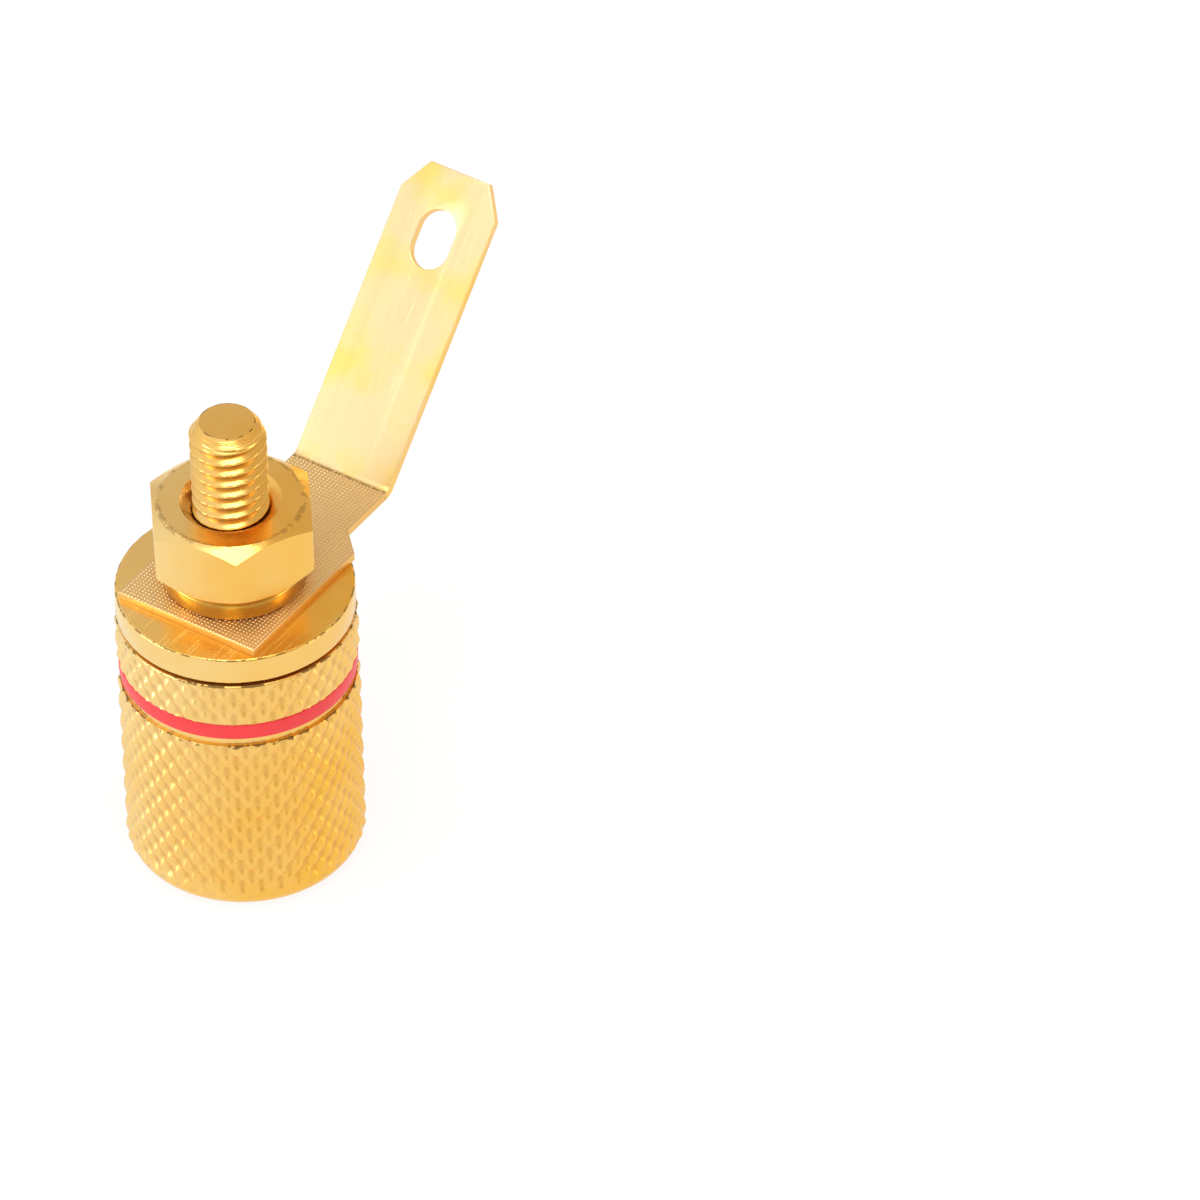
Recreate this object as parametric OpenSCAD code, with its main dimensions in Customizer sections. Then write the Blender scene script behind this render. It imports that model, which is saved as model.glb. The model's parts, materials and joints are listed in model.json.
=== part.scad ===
// Binding post with a knurled cap, a colour ring, a solder tag, a spring washer and a hex nut.
// Millimetres. The axis is Z and the origin is the centre of the cap's end face.

/* [Cap] */
// Diameter over the tips of the knurl
cap_d = 12.5; // [11.6:0.1:16]
// Length of the cap along the axis
cap_len = 15.25; // [14.65:0.1:20]
// Radius of the rounded rim at the closed end
cap_rim_r = 0.85; // [0.3:0.05:1.2]
// Thickness of the closed end round the plug hole
cap_end_wall = 1.2; // [0.8:0.1:2]
// Diameter of the plug hole in the closed end
plug_hole_d = 4.6; // [4.3:0.1:5.4]
// Plain band between the rounded rim and the knurl
cap_plain_end = 0.1; // [0.1:0.05:0.75]
// Plain lip between the knurl and the open end
cap_lip = 0.2; // [0.1:0.05:0.6]

/* [Knurl] */
// Number of diamonds round the cap
knurl_n = 38; // [24:1:44]
// Length of one diamond along the axis
knurl_pitch = 1.46; // [1.2:0.02:2.4]
// Depth of the grooves between the diamonds
knurl_depth = 0.25; // [0.1:0.01:0.35]

/* [Colour ring] */
// Height of the lower side of the groove above the closed end
groove_z = 11.2; // [8:0.05:11.6]
// Width of the groove along the axis
groove_w = 1.45; // [1.2:0.05:2]
// Depth of the groove below the tips of the knurl
groove_depth = 0.75; // [0.5:0.05:1]
// Width of the ring along the axis
ring_w = 0.94; // [0.6:0.02:1.1]
// How far the ring lies below the tips of the knurl
ring_inset = 0.12; // [0:0.01:0.3]

/* [Post] */
// Diameter of the flange
flange_d = 12.25; // [11.05:0.1:14]
// Thickness of the flange
flange_t = 1.55; // [1.05:0.1:3]
// Diameter of the threaded barrel that the cap runs on
barrel_d = 7; // [6.4:0.1:8]
// Diameter of the socket for a plug
socket_d = 4; // [3.8:0.1:4.2]
// Metal between the end of the socket's straight wall and the flange's upper face
socket_roof = 2.25; // [2:0.05:6]
// Diameter of the cross hole for bare wire
wire_hole_d = 2.6; // [1.5:0.1:2.8]
// Metal between the wire hole and the flange
wire_hole_land = 0.6; // [0.3:0.1:1]
// Depth of the plain neck round the wire hole, below the barrel's surface
neck_depth = 0.4; // [0.2:0.05:0.6]
// Length of the plain neck past the wire hole
neck_land = 0.4; // [0.2:0.1:1]
// Diameter of the threaded stud
stud_d = 4; // [3:0.5:4.5]
// Length of the stud past the flange
stud_len = 10.6; // [9:0.1:16]
// Height of the cone on the stud's end
stud_tip_h = 0.75; // [0.3:0.05:1]
// Diameter of the flat on the stud's end
stud_tip_d = 2.66; // [1.6:0.02:2.8]

/* [Solder tag] */
// Thickness of the tag
tag_t = 0.5; // [0.3:0.05:0.8]
// Width of the tag's base
tag_base_w = 8.4; // [7.6:0.1:9]
// Distance from the axis to the base's back edge
tag_back = 4.3; // [4:0.05:5]
// Distance from the axis to the start of the shoulders
tag_shoulder_x = 4.65; // [4.25:0.1:6]
// Width of the tail
tail_w = 5.8; // [4:0.1:6.4]
// Distance from the axis to the bend
tag_bend_x = 9.4; // [8.6:0.1:14]
// Angle through which the tail is bent up
tag_bend_angle = 46.5; // [20:0.5:70]
// Inner radius of the bend
tag_bend_r = 0.5; // [0.3:0.1:1.5]
// Length of the tail past the bend
tail_len = 16.3; // [12:0.1:24]
// Width of the flat at the tail's tip
tail_tip_w = 3.6; // [2:0.1:4]
// Length of the cut corners at the tail's tip
tail_tip_cut = 1.7; // [0.8:0.1:2.4]
// Width of the slot in the tail
slot_w = 2.2; // [1.4:0.1:2.8]
// Length of the slot in the tail
slot_len = 3.2; // [2.9:0.1:5]
// Distance from the tail's tip to the middle of the slot
slot_from_tip = 3.7; // [3:0.05:5]

/* [Spring washer] */
// Outer diameter of the washer
washer_d = 7.4; // [6.2:0.1:8]
// Thickness of the washer
washer_t = 1.1; // [0.6:0.1:1.4]
// Width of the split
washer_split = 0.5; // [0.2:0.1:1]
// Slant of the split from the axis
washer_split_slant = 22; // [0:1:35]
// Direction of the split round the axis
washer_split_angle = 70; // [0:5:355]

/* [Hex nut] */
// Width of the nut across its flats
nut_af = 8; // [7:0.1:9]
// Height of the nut
nut_h = 3.9; // [2.4:0.1:5]
// Direction of one corner of the nut round the axis
nut_corner_angle = 38; // [0:0.5:60]
// Height of the rounding cone at each corner of the nut
nut_corner_cut = 0.55; // [0.2:0.05:0.8]
// Depth of the countersink in each face of the nut
nut_sink = 0.55; // [0.2:0.05:0.8]

/* [Clearances] */
// Gap between the cap's open end and the flange when the cap is screwed home
seat_gap = 0.2; // [0.05:0.05:0.4]
// Gap between the closed end of the cap and the end of the barrel
barrel_gap = 0.4; // [0.2:0.1:1]
// Radial running clearance of pieces that turn on each other
run_gap = 0.06; // [0.02:0.01:0.1]
// Gap between the ring and the groove's upper side
ring_gap = 0.03; // [0.01:0.01:0.1]

/* [Hidden] */
$fn = 96;
eps = 0.01;
barrel_chamfer = 0.4;
edge_break = 0.12;
drill_point_angle = 59;
cut = 1;
plain_share = 0.4;
knurl_overlap = 0.1;
knurl_root_r = cap_d / 2 - knurl_depth;
plain_r = cap_d / 2 - knurl_depth * plain_share;
knurl_z = cap_rim_r + cap_plain_end;
groove_floor_r = cap_d / 2 - groove_depth;
groove_top_z = groove_z + groove_w;
thread_r = barrel_d / 2 + run_gap;
ring_r = cap_d / 2 - ring_inset;
ring_top_z = groove_top_z - ring_gap;
flange_z = cap_len + seat_gap;
tag_z = flange_z + flange_t;
washer_z = tag_z + tag_t;
nut_z = washer_z + washer_t;
stud_end_z = tag_z + stud_len;
barrel_end_z = cap_end_wall + barrel_gap;
wire_hole_z = flange_z - wire_hole_land - wire_hole_d / 2;
neck_r = barrel_d / 2 - neck_depth;
neck_z = wire_hole_z - wire_hole_d / 2 - neck_land;
socket_end_z = tag_z - socket_roof;
hole_r = stud_d / 2 + run_gap;

// Radius of knurl point i in row j: groove crossings alternate with tips, and both end rows are plain
function knurl_r(i, j, rows) =
    j == 0 || j == rows || (i + j) % 2 == 0 ? knurl_root_r : cap_d / 2;

// A drum from z_lo to z_hi whose wall is cut into diamonds by two crossing sets of grooves
module knurl_drum(z_lo, z_hi) {
    cols = 2 * knurl_n;
    rows = max(2, round(2 * (z_hi - z_lo) / knurl_pitch));
    points = [
        for (j = [0 : rows])
            for (i = [0 : cols - 1])
                let (r = knurl_r(i, j, rows), a = 360 * i / cols)
                    [r * cos(a), r * sin(a), z_lo + (z_hi - z_lo) * j / rows]
    ];
    // Each cell is split along the groove that crosses it
    walls = [
        for (j = [0 : rows - 1])
            for (i = [0 : cols - 1])
                let (
                    n = (i + 1) % cols,
                    a = j * cols + i,
                    b = j * cols + n,
                    c = (j + 1) * cols + n,
                    d = (j + 1) * cols + i
                )
                    each (i + j) % 2 == 0 ? [[a, c, b], [a, d, c]] : [[a, d, b], [b, d, c]]
    ];
    bottom = [for (i = [0 : cols - 1]) i];
    top = [for (i = [0 : cols - 1]) (rows + 1) * cols - 1 - i];
    polyhedron(points, concat([bottom, top], walls));
}

// The plain rounded rim at the closed end
module cap_rim() {
    rotate_extrude() {
        translate([0, cap_rim_r])
            square([plain_r, cap_plain_end]);
        square([plain_r - cap_rim_r, knurl_z]);
        intersection() {
            translate([plain_r - cap_rim_r, cap_rim_r])
                circle(cap_rim_r);
            square([plain_r, cap_rim_r]);
        }
    }
}

// The plain lip at the open end
module cap_lip_ring() {
    translate([0, 0, cap_len - cap_lip])
        cylinder(r = plain_r, h = cap_lip);
}

// The groove for the colour ring, cut through the knurl
module ring_groove() {
    translate([0, 0, groove_z])
        difference() {
            cylinder(r = cap_d, h = groove_w);
            translate([0, 0, -cut])
                cylinder(r = groove_floor_r, h = groove_w + 2 * cut);
        }
}

// The plug hole in the closed end, the threaded bore and its lead-in
module cap_bore() {
    translate([0, 0, -cut])
        cylinder(d = plug_hole_d, h = cap_end_wall + 2 * cut);
    translate([0, 0, cap_end_wall])
        cylinder(r = thread_r, h = cap_len);
    translate([0, 0, cap_len - barrel_chamfer])
        cylinder(r1 = thread_r, r2 = thread_r + barrel_chamfer + eps, h = barrel_chamfer + eps);
}

module cap() {
    color("gold")
        difference() {
            union() {
                knurl_drum(knurl_z - knurl_overlap, cap_len - cap_lip + knurl_overlap);
                cap_rim();
                cap_lip_ring();
            }
            ring_groove();
            cap_bore();
        }
}

module colour_ring() {
    color("crimson")
        translate([0, 0, ring_top_z - ring_w])
            difference() {
                cylinder(r = ring_r, h = ring_w);
                translate([0, 0, -cut])
                    cylinder(r = groove_floor_r + run_gap, h = ring_w + 2 * cut);
            }
}

// One turned piece: barrel with socket, neck and wire hole, flange, stud
module post() {
    barrel_r = barrel_d / 2;
    flange_r = flange_d / 2;
    color("gold")
        difference() {
            rotate_extrude()
                polygon([
                    [0, barrel_end_z],
                    [barrel_r - barrel_chamfer, barrel_end_z],
                    [barrel_r, barrel_end_z + barrel_chamfer],
                    [barrel_r, neck_z - neck_depth],
                    [neck_r, neck_z],
                    [neck_r, flange_z],
                    [flange_r - edge_break, flange_z],
                    [flange_r, flange_z + edge_break],
                    [flange_r, tag_z - edge_break],
                    [flange_r - edge_break, tag_z],
                    [stud_d / 2, tag_z],
                    [stud_d / 2, stud_end_z - stud_tip_h],
                    [stud_tip_d / 2, stud_end_z],
                    [0, stud_end_z]
                ]);
            translate([0, 0, barrel_end_z - cut])
                cylinder(d = socket_d, h = socket_end_z - barrel_end_z + cut);
            translate([0, 0, socket_end_z - eps])
                cylinder(d1 = socket_d, d2 = 0, h = socket_d / 2 / tan(drill_point_angle));
            translate([0, 0, wire_hole_z])
                rotate([90, 0, 0])
                    cylinder(d = wire_hole_d, h = barrel_d + 2 * cut, center = true);
        }
}

// Flat outline of the tag's base, from the back edge to the bend
module tag_base_outline() {
    half_base = tag_base_w / 2;
    half_tail = tail_w / 2;
    shoulder = half_base - half_tail;
    polygon([
        [-tag_back, -half_base],
        [tag_shoulder_x, -half_base],
        [tag_shoulder_x + shoulder, -half_tail],
        [tag_bend_x, -half_tail],
        [tag_bend_x, half_tail],
        [tag_shoulder_x + shoulder, half_tail],
        [tag_shoulder_x, half_base],
        [-tag_back, half_base]
    ]);
}

// Flat outline of the tail, from the bend to the tip
module tail_outline() {
    half_tail = tail_w / 2;
    difference() {
        polygon([
            [0, -half_tail],
            [tail_len - tail_tip_cut, -half_tail],
            [tail_len, -tail_tip_w / 2],
            [tail_len, tail_tip_w / 2],
            [tail_len - tail_tip_cut, half_tail],
            [0, half_tail]
        ]);
        translate([tail_len - slot_from_tip, 0]) {
            square([slot_len - slot_w, slot_w], center = true);
            for (side = [-1, 1])
                translate([side * (slot_len - slot_w) / 2, 0])
                    circle(d = slot_w);
        }
    }
}

module solder_tag() {
    color("gold") {
        translate([0, 0, tag_z])
            linear_extrude(tag_t)
                difference() {
                    tag_base_outline();
                    circle(hole_r);
                }
        // The bend turns about a line above the base, across the tail
        translate([tag_bend_x, 0, washer_z + tag_bend_r]) {
            rotate([90, 0, 0])
                tag_bend();
            rotate([0, -tag_bend_angle, 0])
                translate([0, 0, -tag_bend_r - tag_t])
                    linear_extrude(tag_t)
                        tail_outline();
        }
    }
}

// The bent strip between base and tail, about its own Z axis
module tag_bend() {
    rotate([0, 0, -90])
        rotate_extrude(angle = tag_bend_angle)
            translate([tag_bend_r, -tail_w / 2])
                square([tag_t, tail_w]);
}

module spring_washer() {
    color("gold")
        translate([0, 0, washer_z])
            difference() {
                cylinder(d = washer_d, h = washer_t);
                translate([0, 0, -cut])
                    cylinder(r = hole_r, h = washer_t + 2 * cut);
                rotate([0, 0, washer_split_angle])
                    translate([washer_d / 2, 0, washer_t / 2])
                        rotate([washer_split_slant, 0, 0])
                            cube([washer_d, washer_split, 4 * washer_t], center = true);
            }
}

module hex_nut() {
    corner_r = nut_af / sqrt(3);
    face_r = nut_af / 2;
    sink_r = hole_r + nut_sink;
    color("gold")
        translate([0, 0, nut_z])
            difference() {
                intersection() {
                    rotate([0, 0, nut_corner_angle])
                        cylinder(r = corner_r, h = nut_h, $fn = 6);
                    rotate_extrude()
                        polygon([
                            [0, 0],
                            [face_r, 0],
                            [corner_r + eps, nut_corner_cut],
                            [corner_r + eps, nut_h - nut_corner_cut],
                            [face_r, nut_h],
                            [0, nut_h]
                        ]);
                }
                translate([0, 0, -cut])
                    cylinder(r = hole_r, h = nut_h + 2 * cut);
                translate([0, 0, -eps])
                    cylinder(r1 = sink_r + eps, r2 = hole_r, h = nut_sink + eps);
                translate([0, 0, nut_h - nut_sink])
                    cylinder(r1 = hole_r, r2 = sink_r + eps, h = nut_sink + eps);
            }
}

cap();
colour_ring();
post();
solder_tag();
spring_washer();
hex_nut();
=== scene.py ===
"""Finished pieces of a gold-plated binding post, built round its construction. Metres, axis along Z."""

import json
import math
from collections import namedtuple

import bmesh
import bpy
from bpy.props import FloatProperty, FloatVectorProperty, IntProperty, PointerProperty
from bpy.types import Operator, Panel, PropertyGroup
from mathutils import Matrix, Vector


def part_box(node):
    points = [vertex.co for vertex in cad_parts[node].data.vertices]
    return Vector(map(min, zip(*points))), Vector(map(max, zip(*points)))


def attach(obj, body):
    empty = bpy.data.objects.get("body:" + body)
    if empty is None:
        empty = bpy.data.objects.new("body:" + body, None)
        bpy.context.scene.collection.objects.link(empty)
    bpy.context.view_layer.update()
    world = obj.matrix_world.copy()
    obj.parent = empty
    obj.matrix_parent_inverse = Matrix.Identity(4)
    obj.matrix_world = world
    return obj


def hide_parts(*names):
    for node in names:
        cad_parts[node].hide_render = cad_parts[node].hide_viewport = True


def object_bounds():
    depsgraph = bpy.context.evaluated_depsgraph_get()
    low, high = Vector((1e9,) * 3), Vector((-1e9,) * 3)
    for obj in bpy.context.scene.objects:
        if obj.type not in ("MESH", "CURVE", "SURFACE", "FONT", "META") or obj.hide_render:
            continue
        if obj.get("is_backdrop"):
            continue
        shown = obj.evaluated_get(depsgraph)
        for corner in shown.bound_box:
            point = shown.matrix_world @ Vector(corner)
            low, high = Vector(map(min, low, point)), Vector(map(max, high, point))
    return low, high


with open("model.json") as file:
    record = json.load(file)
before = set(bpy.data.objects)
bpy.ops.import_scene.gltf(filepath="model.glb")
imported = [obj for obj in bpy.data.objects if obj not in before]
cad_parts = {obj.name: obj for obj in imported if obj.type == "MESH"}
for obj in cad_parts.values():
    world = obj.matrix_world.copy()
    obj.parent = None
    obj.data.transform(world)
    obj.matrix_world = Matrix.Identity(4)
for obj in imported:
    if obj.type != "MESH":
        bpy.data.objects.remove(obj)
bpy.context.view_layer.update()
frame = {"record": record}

bl_info = {
    "name": "Binding post",
    "version": (1, 0, 0),
    "blender": (4, 5, 0),
    "location": "View3D > Sidebar > Binding post",
    "description": "Builds the finished pieces of a gold-plated binding post",
    "category": "Object",
}

MM = 0.001
FULL_TURN = 2 * math.pi
DRILL_POINT = math.radians(59)
MOUNTS = {mount["name"]: mount for mount in frame["record"]["mounts"]}


def length(name, size, description):
    """A size property; size is in millimetres and is kept in metres."""
    return FloatProperty(name=name, description=description, default=size * MM, precision=5,
                         subtype="DISTANCE", unit="LENGTH")


def angle(name, degrees, description):
    """An angle property; degrees are kept as radians."""
    return FloatProperty(name=name, description=description, default=math.radians(degrees),
                         subtype="ANGLE", unit="ROTATION")


def tint(name, colour, description):
    """A colour property, as linear red, green and blue."""
    return FloatVectorProperty(name=name, description=description, default=colour, size=3,
                               subtype="COLOR", min=0, max=1)


def fraction(name, amount, description):
    """A property between 0 and 1."""
    return FloatProperty(name=name, description=description, default=amount, min=0, max=1)


# ------------------------ sizes and colours


class CapSizes(PropertyGroup):
    rim: length("Rim", 0.85, "Radius of the rounded rim at the closed end")
    lip: length("Lip", 0.2, "Plain lip at the open end")
    land: length("Land", 0.28, "Depth of the plain land under the colour ring")
    ring_seat: length("Ring seat", 0.03, "Gap between the land and the colour ring")
    end_wall: length("End wall", 1.2, "Thickness of the closed end")
    groove_z: length("Groove height", 11.2, "Lower side of the colour ring's groove")
    groove_width: length("Groove width", 1.45, "Width of the groove along the axis")
    groove_depth: length("Groove depth", 0.75, "Depth of the groove below the tips of the knurl")
    bore: length("Bore radius", 3.56, "Radius over the roots of the internal thread")
    lead_in: length("Lead-in", 0.4, "Chamfer at the mouth of the bore")
    edge: length("Edge", 0.08, "Radius worn on the sharp edges")
    diamonds: IntProperty(name="Diamonds", description="Diamonds round the knurl", default=38, min=12)
    diamond_length: length("Diamond length", 1.43, "Length of one diamond along the axis")
    knurl_depth: length("Knurl depth", 0.25, "Depth of the knurl's pits below its tips")
    fade_in: length("Fade-in", 0.7, "Height over which the knurl grows above the rim")
    softness: fraction("Softness", 0.72, "How far the diamonds are rounded off")
    unevenness: fraction("Unevenness", 0.35, "How much the knurl's depth varies")


class PostSizes(PropertyGroup):
    flange_z: length("Flange height", 15.45, "Lower side of the flange")
    tag_z: length("Flange top", 17.0, "Upper side of the flange")
    barrel: length("Barrel radius", 3.5, "Radius over the barrel's thread")
    neck: length("Neck radius", 3.1, "Radius of the plain neck round the wire hole")
    neck_z: length("Neck height", 11.85, "Lower end of the plain neck")
    chamfer: length("Chamfer", 0.4, "Chamfer on the end of the barrel")
    edge: length("Edge", 0.12, "Radius on the flange's edges")
    stud: length("Stud radius", 1.96, "Radius over the stud's thread")
    tip: length("Tip radius", 1.42, "Radius of the flat on the end of the stud")
    tip_height: length("Tip height", 0.75, "Height of the cone on the end of the stud")
    tip_ridge: length("Tip ridge", 0.018, "Height of the tool marks round the cone")
    stud_pitch: length("Stud pitch", 0.7, "Rise of the stud's thread in one turn")
    stud_depth: length("Stud thread depth", 0.4, "Depth of the stud's thread")
    barrel_pitch: length("Barrel pitch", 1.0, "Rise of the barrel's thread in one turn")
    barrel_depth: length("Barrel thread depth", 0.5, "Depth of the barrel's thread")


class TagSizes(PropertyGroup):
    back: length("Back", 4.3, "Distance from the axis to the back edge")
    shoulder_x: length("Shoulder", 4.65, "Distance from the axis to the shoulders")
    base_width: length("Base width", 8.4, "Width of the base")
    tail_width: length("Tail width", 5.8, "Width of the tail")
    bend_x: length("Bend", 9.4, "Distance from the axis to the bend")
    bend_angle: angle("Bend angle", 46.5, "Angle through which the tail is bent up")
    bend_radius: length("Bend radius", 0.5, "Inner radius of the bend")
    tail_length: length("Tail length", 16.3, "Length of the tail past the bend")
    tip_width: length("Tip width", 3.6, "Width of the flat at the tip")
    tip_cut: length("Tip cut", 1.7, "Length of the cut corners at the tip")
    slot_width: length("Slot width", 2.2, "Width of the slot")
    slot_length: length("Slot length", 3.2, "Length of the slot")
    slot_from_tip: length("Slot from tip", 3.7, "Distance from the tip to the middle of the slot")
    hole: length("Hole radius", 2.06, "Radius of the hole for the stud")
    edge: length("Edge", 0.05, "Radius on the sheet's edges")
    dot_pitch: length("Dot pitch", 0.21, "Distance between the embossed dots")
    dot_radius: length("Dot radius", 0.068, "Radius of an embossed dot")
    dot_height: length("Dot height", 0.035, "Height of an embossed dot")


class WasherSizes(PropertyGroup):
    split: length("Split", 0.5, "Width of the split")
    slant: angle("Slant", 22, "Slant of the split from the axis")
    direction: angle("Split direction", 70, "Direction of the split round the axis")
    edge: length("Edge", 0.22, "Radius on the washer's edges")


class NutSizes(PropertyGroup):
    across_flats: length("Across flats", 8.0, "Width of the nut across its flats")
    corner_direction: angle("Corner direction", 38, "Direction of one corner round the axis")
    corner_cut: length("Corner cut", 0.55, "Height of the rounding at each corner")
    lower_cut: length("Lower cut", 0.95, "Height of the rounding at each lower corner")
    lower_face: length("Lower face", 3.55, "Radius of the lower face")
    top_inset: length("Top inset", 0.28, "Distance from the flats to the edge of the top face")
    sink: length("Countersink", 0.55, "Depth of the countersinks")
    edge: length("Edge", 0.07, "Radius on the upright edges")


class Finishes(PropertyGroup):
    # Pale and warm also carry a painted side light: pale for a sheen of light from +Y, warm for a warm
    # bounce light from -Y.
    pale: tint("Pale gold", (0.92, 0.67, 0.28), "Thin, bright plating")
    warm: tint("Warm gold", (0.92, 0.5, 0.07), "Thick plating")
    # The next colour is painted shade, not plating: it darkens pits and thread roots and paints the
    # washer's dark reflections.
    painted_shade: tint("Deep gold", (0.42, 0.2, 0.04), "Plating in pits and roots")
    tarnish: tint("Tarnish", (0.16, 0.09, 0.03), "Dull marks along worn edges")
    sheet: tint("Sheet gold", (0.94, 0.73, 0.4), "Plating on the tag's tail")
    sheet_yellow: tint("Sheet yellow", (0.93, 0.7, 0.2), "Yellow clouds on the tag's tail")
    # The next colour is painted shade: the base is browner for the self-shadowing and double reflections
    # among its dots.
    shaded_base: tint("Sheet base", (0.9, 0.63, 0.31), "Plating on the tag's embossed base")
    red: tint("Red", (0.93, 0.035, 0.045), "Colour of the ring")


class StageSizes(PropertyGroup):
    floor: length("Floor", 3000, "Radius of the floor")
    azimuth: angle("Azimuth", 33.71, "Direction in which the camera looks, from +X")
    elevation: angle("Elevation", 40.975, "Height of the camera above the horizon")
    roll: angle("Roll", -0.776, "Roll of the camera")
    distance: length("Distance", 464.37, "Distance of the origin along the view")
    across: length("Across", -18.383, "Place of the origin to the right of the view's middle")
    below: length("Below", 11.89, "Place of the origin below the view's middle")
    lens: FloatProperty(name="Lens", description="Focal length in millimetres", default=267.6)


class BindingPost(PropertyGroup):
    cap: PointerProperty(type=CapSizes)
    post: PointerProperty(type=PostSizes)
    tag: PointerProperty(type=TagSizes)
    washer: PointerProperty(type=WasherSizes)
    nut: PointerProperty(type=NutSizes)
    finish: PointerProperty(type=Finishes)
    stage: PointerProperty(type=StageSizes)


# ------------------------ node trees as expressions


class Wire:
    """An output socket; sums and products on it add Math nodes to its tree."""

    def __init__(self, maker, socket):
        self.maker = maker
        self.socket = socket

    def __getitem__(self, name):
        """Another output of the same node."""
        return Wire(self.maker, self.socket.node.outputs[name])

    def math(self, operation, *values):
        return self.maker.add("ShaderNodeMath", dict(enumerate(values)), operation=operation)

    def __add__(self, other):
        return self.math("ADD", self, other)

    def __radd__(self, other):
        return self.math("ADD", other, self)

    def __sub__(self, other):
        return self.math("SUBTRACT", self, other)

    def __rsub__(self, other):
        return self.math("SUBTRACT", other, self)

    def __mul__(self, other):
        return self.math("MULTIPLY", self, other)

    def __rmul__(self, other):
        return self.math("MULTIPLY", other, self)

    def __truediv__(self, other):
        return self.math("DIVIDE", self, other)

    def __pow__(self, other):
        return self.math("POWER", self, other)


class Maker:
    """Adds nodes to one tree."""

    def __init__(self, tree):
        self.tree = tree

    def add(self, kind, values=None, output=0, **settings):
        """Adds a node, makes its settings, then sets or links its inputs; returns one output."""
        node = self.tree.nodes.new(kind)
        for name, value in settings.items():
            setattr(node, name, value)
        for key, value in (values or {}).items():
            if isinstance(value, Wire):
                self.tree.links.new(value.socket, node.inputs[key])
            else:
                node.inputs[key].default_value = value
        return Wire(self, node.outputs[output]) if node.outputs else node

    def ramp(self, value, low, high, smooth=True):
        """value brought from low..high to 0..1 and held at the ends."""
        return self.add("ShaderNodeMapRange", {"Value": value, "From Min": low, "From Max": high},
                        interpolation_type="SMOOTHSTEP" if smooth else "LINEAR")

    def blend(self, part, first, second):
        """Mix of two colours, each a Wire or three numbers; part is how much of the second."""
        first, second = (c if isinstance(c, Wire) else (*c, 1.0) for c in (first, second))
        return self.add("ShaderNodeMix", {0: part, 6: first, 7: second}, 2, data_type="RGBA")

    def axes(self, vector):
        """The X, Y and Z of a vector."""
        parts = self.add("ShaderNodeSeparateXYZ", {0: vector})
        return parts, parts["Y"], parts["Z"]

    def stored(self, name):
        """A number that the mesh carries, in Geometry Nodes."""
        return self.add("GeometryNodeInputNamedAttribute", {"Name": name}, data_type="FLOAT")

    def store(self, geometry, name, value):
        return self.add("GeometryNodeStoreNamedAttribute",
                        {"Geometry": geometry, "Name": name, "Value": value}, data_type="FLOAT")

    def attribute(self, name):
        """A number that the mesh carries, in a material."""
        return self.add("ShaderNodeAttribute", output="Fac", attribute_name=name)

    def noise(self, place, scale, detail=3.0):
        return self.add("ShaderNodeTexNoise", {"Vector": place, "Scale": scale, "Detail": detail})

    def stretch(self, place, scale, turn=0):
        """The place scaled along X, Y and Z and turned about Z, in degrees."""
        return self.add("ShaderNodeMapping", {"Vector": place, "Rotation": (0, 0, math.radians(turn)),
                                              "Scale": scale})


# ------------------------ meshes

Ring = namedtuple("Ring", "radius height knurl stud_thread barrel_thread", defaults=(0, 0, 0))
MARKS = ("knurl", "stud_thread", "barrel_thread")


def climb(radius, start, end, step, origin=0.0, **marks):
    """Rings on a straight wall from start to end, with those between on a grid of step from origin."""
    low, high = sorted((start, end))
    least = 0.2 * step
    first = math.floor((low - origin) / step + 1)
    last = math.ceil((high - origin) / step - 1)
    between = [origin + k * step for k in range(first, last + 1)]
    between = [z for z in between if low + least < z < high - least]
    heights = [low, *between, high]
    if start > end:
        heights.reverse()
    return [Ring(radius, z, **marks) for z in heights]


def rounded(radius, height, size, start, end, steps=4):
    """Rings on an arc of the given size about (radius, height), from start to end in degrees."""
    turns = [math.radians(start + (end - start) * k / steps) for k in range(steps + 1)]
    return [Ring(radius + size * math.cos(a), height + size * math.sin(a)) for a in turns]


def turned(name, rings, segments, closed, diagonal=None):
    """A profile turned about Z. Its outer wall runs upwards. A ring of no radius is a single point."""
    points, starts = [], []
    for ring in rings:
        starts.append(len(points))
        count = 1 if ring.radius == 0 else segments
        for i in range(count):
            a = FULL_TURN * i / segments
            points.append((ring.radius * math.cos(a), ring.radius * math.sin(a), ring.height))
    faces = []
    pairs = [(k, (k + 1) % len(rings)) for k in range(len(rings) if closed else len(rings) - 1)]
    for k, above in pairs:
        for i in range(segments):
            n = (i + 1) % segments
            low = [starts[k]] if rings[k].radius == 0 else [starts[k] + i, starts[k] + n]
            high = [starts[above]] if rings[above].radius == 0 else [starts[above] + n, starts[above] + i]
            if diagonal and len(low) == 2 == len(high) and rings[k].knurl and rings[above].knurl:
                faces += diagonal(low, high, i, min(rings[k].height, rings[above].height))
            elif len(low) + len(high) > 2:
                faces.append(low + high)
    mesh = bpy.data.meshes.new(name)
    mesh.from_pydata(points, [], faces)
    for mark in MARKS:
        values = []
        for ring in rings:
            values += [getattr(ring, mark)] * (1 if ring.radius == 0 else segments)
        mesh.attributes.new(mark, "FLOAT", "POINT").data.foreach_set("value", values)
    return placed(name, mesh)


def placed(name, mesh):
    """A new object at the origin that shows the mesh."""
    piece = bpy.data.objects.new(name, mesh)
    bpy.context.scene.collection.objects.link(piece)
    return piece


def settle(piece):
    """Makes what the modifiers show the piece's own plain mesh."""
    view = bpy.context.evaluated_depsgraph_get()
    mesh = bpy.data.meshes.new_from_object(piece.evaluated_get(view), preserve_all_data_layers=True,
                                           depsgraph=view)
    mesh.name = piece.name
    piece.modifiers.clear()
    piece.data = mesh


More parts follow.
